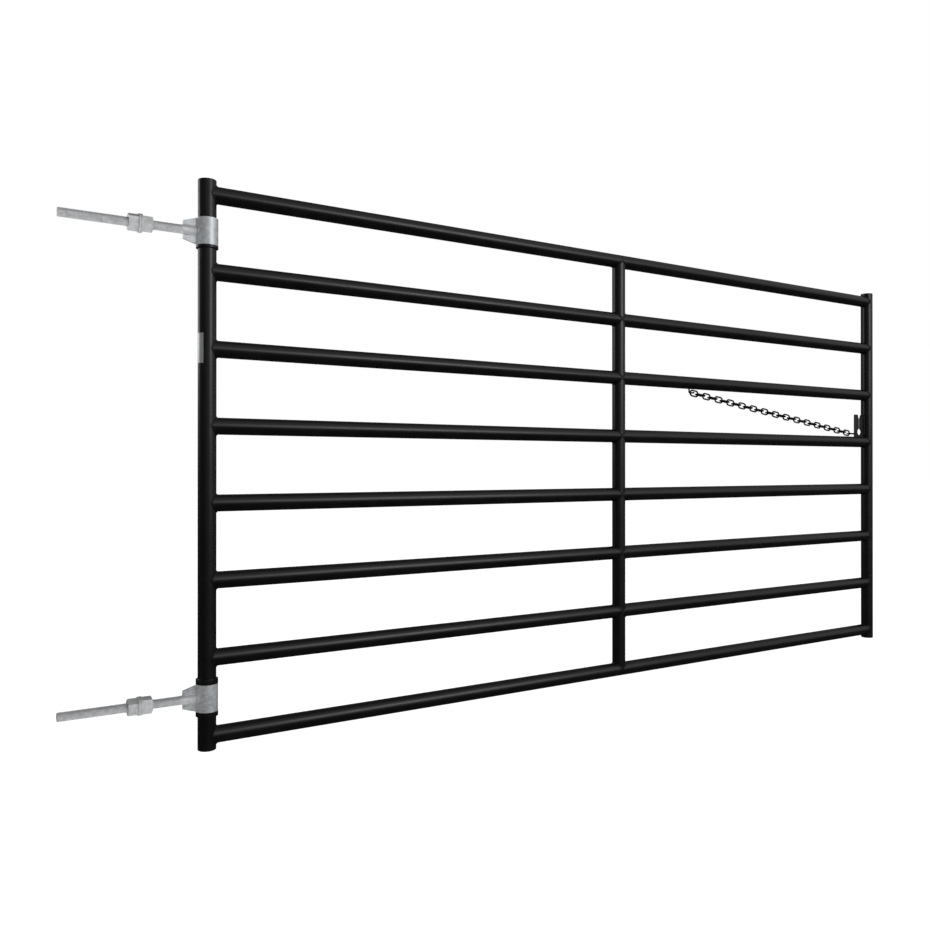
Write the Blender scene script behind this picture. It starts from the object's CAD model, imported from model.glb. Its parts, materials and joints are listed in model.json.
"""Looks of a tubular steel yard gate: powder-coated tubes, galvanised hinges, a blackened chain."""

import json
import math
import random

import bmesh
import bpy
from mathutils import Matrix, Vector


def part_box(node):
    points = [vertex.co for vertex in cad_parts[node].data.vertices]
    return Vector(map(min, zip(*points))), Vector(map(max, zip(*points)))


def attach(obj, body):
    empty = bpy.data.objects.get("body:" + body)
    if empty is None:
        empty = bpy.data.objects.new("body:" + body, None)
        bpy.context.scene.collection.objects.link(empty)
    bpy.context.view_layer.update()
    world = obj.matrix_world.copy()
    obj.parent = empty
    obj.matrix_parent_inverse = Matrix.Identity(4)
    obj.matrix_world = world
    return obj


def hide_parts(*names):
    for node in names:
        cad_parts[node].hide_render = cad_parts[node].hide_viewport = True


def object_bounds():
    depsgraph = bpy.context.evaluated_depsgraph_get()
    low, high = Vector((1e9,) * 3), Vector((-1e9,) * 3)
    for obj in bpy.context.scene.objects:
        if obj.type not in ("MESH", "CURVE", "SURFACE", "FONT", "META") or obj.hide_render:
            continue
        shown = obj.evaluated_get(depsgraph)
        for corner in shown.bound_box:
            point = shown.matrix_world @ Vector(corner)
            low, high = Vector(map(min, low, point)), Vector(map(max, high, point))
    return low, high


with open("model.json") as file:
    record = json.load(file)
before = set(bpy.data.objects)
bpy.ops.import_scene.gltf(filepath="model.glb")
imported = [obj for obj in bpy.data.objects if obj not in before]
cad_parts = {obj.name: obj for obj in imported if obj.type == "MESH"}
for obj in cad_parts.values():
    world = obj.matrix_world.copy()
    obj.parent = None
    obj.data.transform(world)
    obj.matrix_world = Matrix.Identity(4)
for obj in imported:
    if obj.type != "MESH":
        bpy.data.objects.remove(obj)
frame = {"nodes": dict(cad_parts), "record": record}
cad_low, cad_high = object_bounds()

MM = 0.001


# --- Camera, floor and light -------------------------------------------------------------------

CAMERA_PLACE = (-0.6579, -2.4455, 0.7916)
CAMERA_YAW = 31.664  # from straight across the gate towards the latch stile
CAMERA_TILT = 0.123
CAMERA_LENS_MM = 33.48
CAMERA_SENSOR_MM = 36
CAMERA_REACH = 200
FLOOR_DROP = 0.09  # the gate hangs clear of the ground
FLOOR_HALF_WIDTH = 40.0
FLOOR_GLOW = 0.85
HORIZON_LOW, HORIZON_HIGH = -0.10, 0.12  # the room goes from dim to bright between these heights
WINDOW_SIDE = (0.64, -0.77, 0.0)  # the brighter half of the room, front right
WALL_DIM, WALL_BRIGHT = 0.08, 0.5
ROOM_FLOOR_LEVEL = 0.03
KEY_SOFTBOX = {"place": (3.6, -5.4, 2.6), "target": (1.2, 0, 0.9), "size": (2.6, 1.8), "watts": 70}
FILL_SOFTBOX = {"place": (-3.0, 4.0, 2.6), "target": (1.5, 0, 0.9), "size": (3.0, 2.0), "watts": 50}


def linear(hex_colour):
    """sRGB hex to linear RGBA."""
    channels = [int(hex_colour[i:i + 2], 16) / 255 for i in (1, 3, 5)]
    return [c / 12.92 if c <= 0.04045 else ((c + 0.055) / 1.055) ** 2.4 for c in channels] + [1.0]


def add_node(tree, kind, settings=None, links=None):
    """Adds a node; settings name its properties or its sockets, and links name its sockets."""
    node = tree.nodes.new(kind)
    for name, value in (settings or {}).items():
        if isinstance(name, str) and hasattr(node, name):
            setattr(node, name, value)
        else:
            node.inputs[name].default_value = value
    for name, source in (links or {}).items():
        tree.links.new(source, node.inputs[name])
    return node


def make_camera():
    camera = bpy.data.objects.new("camera", bpy.data.cameras.new("camera"))
    camera.location = CAMERA_PLACE
    camera.rotation_euler = (math.radians(90 + CAMERA_TILT), 0, math.radians(-CAMERA_YAW))
    camera.data.lens = CAMERA_LENS_MM
    camera.data.sensor_width = CAMERA_SENSOR_MM
    camera.data.clip_end = CAMERA_REACH
    bpy.context.collection.objects.link(camera)
    bpy.context.scene.camera = camera


def make_floor():
    mesh = bpy.data.meshes.new("floor")
    z = cad_low[2] - FLOOR_DROP
    w = FLOOR_HALF_WIDTH
    mesh.from_pydata([(-w, -w, z), (w, -w, z), (w, w, z), (-w, w, z)], [], [(0, 1, 2, 3)])
    floor = bpy.data.objects.new("floor", mesh)
    bpy.context.collection.objects.link(floor)
    material = bpy.data.materials.new("pale_floor")
    material.use_nodes = True
    shader = material.node_tree.nodes["Principled BSDF"]
    shader.inputs["Base Color"].default_value = linear("#f4f4f4")
    shader.inputs["Roughness"].default_value = 0.9
    shader.inputs["Specular IOR Level"].default_value = 0.1
    shader.inputs["Emission Color"].default_value = linear("#ffffff")
    shader.inputs["Emission Strength"].default_value = FLOOR_GLOW
    mesh.materials.append(material)
    floor.visible_glossy = False


def make_studio():
    """A white room: bright above the horizon and to the front right, dim below it."""
    world = bpy.data.worlds.new("studio")
    bpy.context.scene.world = world
    world.use_nodes = True
    tree = world.node_tree
    tree.nodes.clear()
    place = add_node(tree, "ShaderNodeTexCoord")
    split = add_node(tree, "ShaderNodeSeparateXYZ", links={0: place.outputs["Generated"]})
    height = add_node(tree, "ShaderNodeMapRange", {
        "interpolation_type": "SMOOTHSTEP", "From Min": HORIZON_LOW, "From Max": HORIZON_HIGH,
        "To Min": 0.0, "To Max": 1.0,
    }, {"Value": split.outputs["Z"]})
    facing = add_node(tree, "ShaderNodeVectorMath", {"operation": "DOT_PRODUCT", 1: WINDOW_SIDE},
                      {0: place.outputs["Generated"]})
    side = add_node(tree, "ShaderNodeMapRange", {
        "interpolation_type": "SMOOTHSTEP", "From Min": -0.1, "From Max": 0.95,
        "To Min": WALL_DIM, "To Max": WALL_BRIGHT,
    }, {"Value": facing.outputs["Value"]})
    bright = add_node(tree, "ShaderNodeMath", {"operation": "MULTIPLY"},
                      {0: height.outputs[0], 1: side.outputs[0]})
    dim = add_node(tree, "ShaderNodeMath", {"operation": "ADD", 1: ROOM_FLOOR_LEVEL}, {0: bright.outputs[0]})
    path = add_node(tree, "ShaderNodeLightPath")
    level = add_node(tree, "ShaderNodeMix", {"data_type": "FLOAT", "B": 1.0},
                     {"Factor": path.outputs["Is Camera Ray"], "A": dim.outputs[0]})
    sky = add_node(tree, "ShaderNodeBackground", {"Color": (1, 1, 1, 1)}, {"Strength": level.outputs[0]})
    add_node(tree, "ShaderNodeOutputWorld", links={"Surface": sky.outputs[0]})


def make_softbox(name, place, target, size, watts):
    light = bpy.data.lights.new(name, "AREA")
    light.shape = "RECTANGLE"
    light.size, light.size_y = size
    light.energy = watts
    box = bpy.data.objects.new(name, light)
    box.location = place
    box.rotation_euler = (Vector(target) - Vector(place)).to_track_quat("-Z", "Y").to_euler()
    bpy.context.collection.objects.link(box)


bpy.context.scene.view_settings.view_transform = "Standard"
make_camera()
make_floor()
make_studio()
make_softbox("key_softbox", **KEY_SOFTBOX)
make_softbox("fill_softbox", **FILL_SOFTBOX)


# --- Materials ---------------------------------------------------------------------------------


def grain_scale(size_mm):
    """Noise scale whose features are size_mm across, for coordinates in metres."""
    return 1000.0 / size_mm


def new_material(name):
    material = bpy.data.materials.new(name)
    material.use_nodes = True
    tree = material.node_tree
    place = add_node(tree, "ShaderNodeTexCoord")
    return material, tree, tree.nodes["Principled BSDF"], place.outputs["Object"]


def noise(tree, place, size_mm, detail=2.0, roughness=0.5):
    return add_node(tree, "ShaderNodeTexNoise", {
        "Scale": grain_scale(size_mm), "Detail": detail, "Roughness": roughness,
    }, {"Vector": place}).outputs["Fac"]


def colour_between(tree, factor, dark, light, low=0.3, high=0.7):
    ramp = add_node(tree, "ShaderNodeValToRGB", links={"Fac": factor})
    ramp.color_ramp.elements[0].position = low
    ramp.color_ramp.elements[1].position = high
    ramp.color_ramp.elements[0].color = linear(dark)
    ramp.color_ramp.elements[1].color = linear(light)
    return ramp.outputs["Color"]


def value_between(tree, factor, low, high):
    return add_node(tree, "ShaderNodeMapRange", {"To Min": low, "To Max": high},
                    {"Value": factor}).outputs[0]


def raise_surface(tree, shader, height, depth_mm, normal=None):
    links = {"Height": height}
    if normal:
        links["Normal"] = normal
    bump = add_node(tree, "ShaderNodeBump", {"Distance": depth_mm * MM, "Strength": 1.0}, links)
    tree.links.new(bump.outputs["Normal"], shader.inputs["Normal"])
    return bump.outputs["Normal"]


def black_powder_coat():
    """Baked polyester powder on steel tube: deep black, semi-gloss, with a faint orange peel."""
    material, tree, shader, place = new_material("black_powder_coat")
    cloud = noise(tree, place, 60, 3)
    peel = noise(tree, place, 3.0, 1)  # real peel is about 1 mm, drawn coarser so that it shows
    speck = noise(tree, place, 0.8, 2, 0.7)
    tree.links.new(colour_between(tree, cloud, "#040404", "#080808"), shader.inputs["Base Color"])
    tree.links.new(value_between(tree, cloud, 0.30, 0.40), shader.inputs["Roughness"])
    shader.inputs["IOR"].default_value = 1.5
    first = raise_surface(tree, shader, peel, 0.035)
    raise_surface(tree, shader, speck, 0.01, first)
    return material


def galvanised_steel():
    """Hot-dip galvanised plate and pipe: pale zinc with soft spangle and small runs."""
    material, tree, shader, place = new_material("galvanised_steel")
    spangle = add_node(tree, "ShaderNodeTexVoronoi", {"Scale": grain_scale(7.0), "Randomness": 1.0},
                       {"Vector": place})
    shade = add_node(tree, "ShaderNodeSeparateColor", links={"Color": spangle.outputs["Color"]})
    cloud = noise(tree, place, 25, 4)
    mixed = add_node(tree, "ShaderNodeMix", {"data_type": "FLOAT", "Factor": 0.5},
                     {"A": shade.outputs[0], "B": cloud}).outputs[0]
    tree.links.new(colour_between(tree, mixed, "#c2c6c9", "#e4e7e9", 0.2, 0.8), shader.inputs["Base Color"])
    tree.links.new(value_between(tree, mixed, 0.38, 0.58), shader.inputs["Roughness"])
    shader.inputs["Metallic"].default_value = 0.7
    raise_surface(tree, shader, noise(tree, place, 5, 3), 0.12)
    return material


def zinc_plate():
    """Electroplated zinc on machined steel: smooth, greyer than dipped zinc, with fine turning."""
    material, tree, shader, place = new_material("zinc_plate")
    cloud = noise(tree, place, 12, 4)
    tree.links.new(colour_between(tree, cloud, "#c4c6c7", "#e0e1e2"), shader.inputs["Base Color"])
    tree.links.new(value_between(tree, cloud, 0.42, 0.58), shader.inputs["Roughness"])
    shader.inputs["Metallic"].default_value = 0.35
    raise_surface(tree, shader, noise(tree, place, 1.2, 2), 0.02)
    return material


def blackened_chain():
    """Hot-blackened chain steel: dull black with paler rubbed spots."""
    material, tree, shader, place = new_material("blackened_chain_steel")
    rub = noise(tree, place, 9, 5, 0.6)
    tree.links.new(colour_between(tree, rub, "#1b1c1d", "#47494b", 0.45, 0.75), shader.inputs["Base Color"])
    tree.links.new(value_between(tree, rub, 0.5, 0.3), shader.inputs["Roughness"])
    shader.inputs["Metallic"].default_value = 0.9
    raise_surface(tree, shader, noise(tree, place, 1.5, 3), 0.05)
    return material


def moulded_plug():
    """Polyethylene tube plug: matt black with a fine moulded grain."""
    material, tree, shader, place = new_material("moulded_polyethylene")
    grain = noise(tree, place, 1.0, 2)
    tree.links.new(colour_between(tree, grain, "#101010", "#1a1a1a"), shader.inputs["Base Color"])
    tree.links.new(value_between(tree, grain, 0.5, 0.62), shader.inputs["Roughness"])
    shader.inputs["IOR"].default_value = 1.51
    raise_surface(tree, shader, grain, 0.04)
    return material


def label_foil():
    """Satin aluminium foil, brushed along its length, with nothing printed on it."""
    material, tree, shader, place = new_material("satin_aluminium_foil")
    stretch = add_node(tree, "ShaderNodeMapping", {"Scale": (1.0, 1.0, 0.04)}, {"Vector": place})
    brush = noise(tree, stretch.outputs[0], 0.6, 2)
    tree.links.new(colour_between(tree, brush, "#b9bcbe", "#d3d5d6"), shader.inputs["Base Color"])
    tree.links.new(value_between(tree, brush, 0.3, 0.45), shader.inputs["Roughness"])
    shader.inputs["Metallic"].default_value = 0.8
    raise_surface(tree, shader, brush, 0.01)
    return material


COAT = black_powder_coat()
GALVANISED = galvanised_steel()
ZINC = zinc_plate()
CHAIN = blackened_chain()
PLUG = moulded_plug()
FOIL = label_foil()
SLOT_MATERIALS = {
    "black_paint": COAT, "galvanised_steel": GALVANISED, "zinc_fastener": ZINC,
    "chain_steel": CHAIN, "plug_plastic": PLUG, "label_foil": FOIL,
}


def dress_frame():
    """Every carried-over CAD node gets the material of its slot."""
    for row in frame["record"]["subparts"]:
        node = frame["nodes"][row["node"]]
        node.data.materials.clear()
        node.data.materials.append(SLOT_MATERIALS[row["material_slot"]])


dress_frame()


# --- Meshes ------------------------------------------------------------------------------------


def centre(node):
    low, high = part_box(node)
    return (Vector(low) + Vector(high)) / 2


def width(node, axis):
    low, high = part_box(node)
    return high[axis] - low[axis]


def add_piece(name, mesh, body, material):
    for face in mesh.polygons:
        face.use_smooth = True
    mesh.materials.append(material)
    piece = bpy.data.objects.new(name, mesh)
    bpy.context.collection.objects.link(piece)
    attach(piece, body)
    return piece


def grid_mesh(name, rows, wrap_rows, wrap_columns):
    """A mesh over rows of points; it can close round either way, and open ends get caps."""
    count, around = len(rows), len(rows[0])
    points = [tuple(point) for row in rows for point in row]
    faces = []
    for i in range(count if wrap_rows else count - 1):
        for j in range(around if wrap_columns else around - 1):
            a, b = i * around, (i + 1) % count * around
            k = (j + 1) % around
            faces.append((a + j, b + j, b + k, a + k))
    if not wrap_rows:
        faces.append(tuple(range(around)))
        faces.append(tuple(reversed(range((count - 1) * around, count * around))))
    mesh = bpy.data.meshes.new(name)
    mesh.from_pydata(points, [], faces)
    made = bmesh.new()
    made.from_mesh(mesh)
    bmesh.ops.recalc_face_normals(made, faces=made.faces)
    made.to_mesh(mesh)
    made.free()
    return mesh


# --- Weld beads --------------------------------------------------------------------------------

BEAD_R = 2.6 * MM
BEAD_PITCH = 2.8 * MM  # one ripple
BEAD_SIDES = 10
BEAD_STEP = 0.9 * MM
BEAD_LIFT = 0.5 * MM  # bead centre proud of the corner
BEAD_RIPPLE = 0.09  # ripple height, as a share of the bead's radius
BEAD_ROUGH = 0.025
FILLET_BEAD_R = 2.2 * MM
SMALL_BEAD_R = 2.0 * MM
TACK_R = 1.6 * MM
SEAM_INSET = 3 * MM  # bare length at each end of the keeper's seams
OVERLAP_POINTS = 3


def bead_mesh(name, path, closed, radius=BEAD_R):
    """A rippled bead along path, a list of points."""
    dice = random.Random(name)
    rows = []
    travelled = 0.0
    across = None
    count = len(path)
    for i, point in enumerate(path):
        before = path[i - 1] if closed or i else point
        after = path[(i + 1) % count] if closed or i < count - 1 else point
        along = (after - before).normalized()
        travelled += (point - path[i - 1]).length if i else 0
        phase = travelled / BEAD_PITCH
        ripple = BEAD_RIPPLE * abs(math.sin(math.pi * phase)) + dice.uniform(-BEAD_ROUGH, BEAD_ROUGH)
        end_taper = 1.0 if closed else min(1.0, 0.45 + 0.2 * min(i, count - 1 - i))
        r = radius * (0.95 + ripple) * end_taper
        if across is None:
            across = along.orthogonal().normalized()
        else:
            across = (across - along * across.dot(along)).normalized()
        up = along.cross(across)
        turns = [2 * math.pi * j / BEAD_SIDES for j in range(BEAD_SIDES)]
        rows.append([point + (across * math.cos(t) + up * math.sin(t)) * r for t in turns])
    return grid_mesh(name, rows, closed, True)


def closed_bead(name, path, radius):
    """A bead that runs all round and ends over its own start, as a real run does."""
    return bead_mesh(name, path + path[:OVERLAP_POINTS], False, radius)


def line_bead(name, start, end, body, material, radius=BEAD_R):
    start, end = Vector(start), Vector(end)
    steps = max(4, int((end - start).length / BEAD_STEP))
    path = [start.lerp(end, i / steps) for i in range(steps + 1)]
    add_piece(name, bead_mesh(name, path, False, radius), body, material)


def ring_bead(name, middle, ring_r, body, material, radius=BEAD_R, axis="Z"):
    steps = int(2 * math.pi * ring_r / BEAD_STEP)
    path = []
    for i in range(steps):
        t = 2 * math.pi * i / steps
        if axis == "Z":
            offset = Vector((math.cos(t), math.sin(t), 0))
        else:
            offset = Vector((0, math.cos(t), math.sin(t)))
        path.append(Vector(middle) + offset * ring_r)
    add_piece(name, closed_bead(name, path, radius), body, material)


def saddle_bead(name, joint, run_axis, run_sign, thin_r, thick_r, body, material):
    """A bead round a thin tube that meets a thick one at right angles.

    joint is where the axes meet, run_axis the thin tube's axis (0 or 2), run_sign the way it leaves.
    """
    other = 2 - run_axis  # the thick tube's axis
    steps = int(2 * math.pi * thin_r / BEAD_STEP)
    path = []
    for i in range(steps):
        t = 2 * math.pi * i / steps
        y = thin_r * math.cos(t)
        reach = math.sqrt(max(0.0, thick_r**2 - y**2))
        point, thick_normal, thin_normal = Vector(), Vector(), Vector()
        point[run_axis], point[1], point[other] = run_sign * reach, y, thin_r * math.sin(t)
        thick_normal[run_axis], thick_normal[1] = run_sign * reach / thick_r, y / thick_r
        thin_normal[1], thin_normal[other] = math.cos(t), math.sin(t)
        lift = (thick_normal + thin_normal).normalized() * BEAD_LIFT
        path.append(Vector(joint) + point + lift)
    add_piece(name, closed_bead(name, path, BEAD_R), body, material)


RAILS = [f"rail_{i}" for i in range(1, 9)]
STAYS = [f"stay_{i}" for i in range(1, 8)]
STILE_R = width("hinge_stile", 1) / 2
RAIL_R = width("rail_1", 1) / 2
STAY_R = width("stay_1", 1) / 2


def weld_frame():
    for rail in RAILS:
        z = centre(rail).z
        for stile, sign in (("hinge_stile", 1), ("latch_stile", -1)):
            joint = (centre(stile).x, 0, z)
            saddle_bead(f"weld_{rail}_{stile}", joint, 0, sign, RAIL_R, STILE_R, "gate", COAT)
    for index, stay in enumerate(STAYS):
        for rail, sign in ((RAILS[index], 1), (RAILS[index + 1], -1)):
            joint = (centre(stay).x, 0, centre(rail).z)
            saddle_bead(f"weld_{stay}_{rail}", joint, 2, sign, STAY_R, RAIL_R, "gate", COAT)


def weld_rings():
    """Each ring is welded on the side away from its barrel."""
    for ring, side in (("bearing_ring", 1), ("lower_stop_ring", 0), ("upper_stop_ring", 0)):
        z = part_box(ring)[side][2]
        ring_bead(f"weld_{ring}", (0, 0, z), STILE_R + 0.8 * MM, "gate", COAT, FILLET_BEAD_R)


def weld_keeper():
    low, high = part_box("keyhole_keeper")
    half = (high[1] - low[1]) / 2
    seam_x = centre("latch_stile").x - STILE_R
    for side, word in ((-1, "front"), (1, "back")):
        y = side * (half + 0.3 * MM)
        line_bead(f"weld_keeper_stile_{word}", (seam_x, y, low[2] + SEAM_INSET),
                  (seam_x, y, high[2] - SEAM_INSET), "gate", COAT)
        line_bead(f"weld_keeper_rail_{word}", (low[0] + SEAM_INSET, y, low[2] - 0.4 * MM),
                  (seam_x - SEAM_INSET, y, low[2] - 0.4 * MM), "gate", COAT, FILLET_BEAD_R)
    link_low, link_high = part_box("chain_weld_link")
    ring_bead("weld_chain_link", (low[0] - 0.6 * MM, 0, (link_low[2] + link_high[2]) / 2), 3.0 * MM,
              "gate", COAT, TACK_R, axis="X")


def weld_peg():
    low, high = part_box("stow_peg")
    stem = ((low[0] + high[0]) / 2, high[1] - (high[0] - low[0]) / 2)
    ring_bead("weld_stow_peg", (stem[0], stem[1], high[2] - 1.5 * MM), 3.2 * MM, "gate", COAT, TACK_R)


def weld_hinge(name, body):
    z = centre(f"{name}_barrel").z
    barrel_r = width(f"{name}_barrel", 1) / 2
    rod_r = width(f"{name}_rod", 1) / 2
    for part, sign in (("top", 1), ("bottom", -1)):
        low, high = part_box(f"{name}_gusset_{part}")
        half = (high[1] - low[1]) / 2
        root = z + sign * (rod_r + 1 * MM)
        for side, word in ((-1, "front"), (1, "back")):
            y = side * half
            seam_x = -math.sqrt(barrel_r**2 - half**2)
            crest = high[2] if sign > 0 else low[2]
            line_bead(f"weld_{name}_{part}_barrel_{word}", (seam_x, y, crest - sign * 1 * MM),
                      (seam_x, y, root), body, GALVANISED, FILLET_BEAD_R)
            seam_z = z + sign * math.sqrt(rod_r**2 - half**2)
            line_bead(f"weld_{name}_{part}_rod_{word}", (low[0] + 1 * MM, y, seam_z),
                      (seam_x, y, seam_z), body, GALVANISED, SMALL_BEAD_R)
        line_bead(f"weld_{name}_{part}_tip", (low[0] - 0.2 * MM, 0, root), (low[0] + 0.6 * MM, 0, root),
                  body, GALVANISED, SMALL_BEAD_R)
    joint = (0, 0, z)
    saddle_bead(f"weld_{name}_rod_root", joint, 0, -1, rod_r, barrel_r, body, GALVANISED)


weld_frame()
weld_rings()
weld_keeper()
weld_peg()
weld_hinge("upper", "upper_hinge")
weld_hinge("lower", "lower_hinge")


# --- Threaded rods -----------------------------------------------------------------------------

THREAD_PITCH = 3.175 * MM  # eight to the inch
THREAD_DEPTH = 1.7 * MM
THREAD_SIDES = 40
THREAD_SAMPLES = 8  # along one pitch
SHANK_LENGTH = 40 * MM  # plain next to the barrel
ROD_CHAMFER = 2.0 * MM


def thread_height(phase):
    """0 at the root and 1 at the crest of a truncated 60 degree thread."""
    ramp = 1 - abs(2 * (phase % 1.0) - 1)
    return min(1.0, max(0.0, (ramp - 0.15) / 0.68))


def threaded_rod(name, body):
    low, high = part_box(f"{name}_rod")
    z = centre(f"{name}_rod").z
    crest_r = (high[2] - low[2]) / 2
    barrel_r = width(f"{name}_barrel", 1) / 2
    end_x = low[0]
    root_x = -barrel_r + 0.4 * MM
    shank_x = root_x - SHANK_LENGTH
    count = int((shank_x - end_x) / THREAD_PITCH * THREAD_SAMPLES)
    rows = []
    for i in range(count + 1):
        x = end_x + (shank_x - end_x) * i / count
        fade = min(1.0, (shank_x - x) / (2 * THREAD_PITCH))
        lead = crest_r - max(0.0, ROD_CHAMFER - (x - end_x))
        row = []
        for j in range(THREAD_SIDES):
            t = 2 * math.pi * j / THREAD_SIDES
            cut = THREAD_DEPTH * fade * (1 - thread_height(x / THREAD_PITCH + j / THREAD_SIDES))
            r = min(crest_r - cut, lead)
            row.append((x, r * math.cos(t), z + r * math.sin(t)))
        rows.append(row)
    rows.append([(root_x, y, height) for x, y, height in rows[-1]])
    mesh = grid_mesh(f"{name}_threaded_rod", rows, False, True)
    rod = add_piece(f"{name}_threaded_rod", mesh, body, ZINC)
    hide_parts(f"{name}_rod")


threaded_rod("upper", "upper_hinge")
threaded_rod("lower", "lower_hinge")
